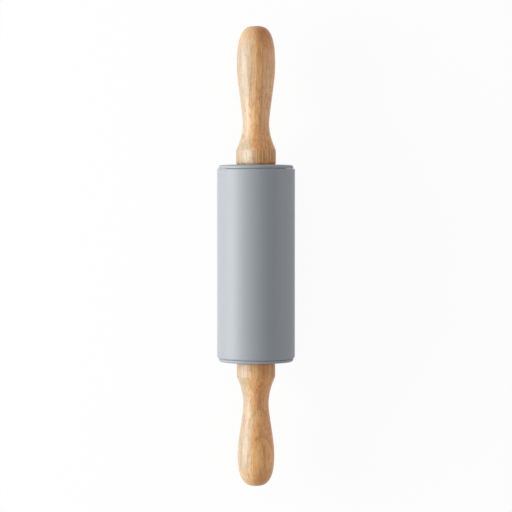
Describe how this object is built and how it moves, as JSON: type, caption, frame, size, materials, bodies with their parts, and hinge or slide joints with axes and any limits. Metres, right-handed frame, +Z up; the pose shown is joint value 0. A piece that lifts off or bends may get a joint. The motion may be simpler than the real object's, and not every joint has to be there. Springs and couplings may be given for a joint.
{
  "type": "silicone rolling pin",
  "caption": "Small rolling pin with a smooth silicone-covered barrel that turns freely on an axle between two turned wooden grips.",
  "frame": {"origin": "middle of the whole pin's length and width, on the surface that its barrel lies on", "axes": "+X along the axle towards the shorter handle, +Z up, +Y across the barrel"},
  "size_m": [0.2308, 0.039, 0.039],
  "materials": {
    "silicone": "smooth matte mid-grey silicone",
    "core_plastic": "moulded polypropylene, undyed",
    "cap_plastic": "fine satin moulded plastic in the silicone's grey",
    "bearing_plastic": "smooth natural acetal",
    "washer_steel": "stamped stainless steel",
    "axle_steel": "drawn and turned stainless rod",
    "insert_brass": "turned brass",
    "wood": "turned light hardwood, satin oiled"
  },
  "bodies": {
    "handles_and_axle": {"axle": "axle_steel", "thrust_washer_left": "washer_steel", "thrust_washer_right": "washer_steel", "handle_insert_left": "insert_brass", "handle_insert_right": "insert_brass", "handle_left": "wood", "handle_right": "wood"},
    "barrel": {"silicone_sleeve": "silicone", "roller_core": "core_plastic", "end_cap_left": "cap_plastic", "end_cap_right": "cap_plastic", "bush_left": "bearing_plastic", "bush_right": "bearing_plastic"}
  },
  "joints": [
    {"name": "barrel_spin", "type": "hinge", "parent": "handles_and_axle", "child": "barrel", "pos_m": [0.00335, 0, 0.0195], "axis": [1, 0, 0], "continuous": true}
  ]
}
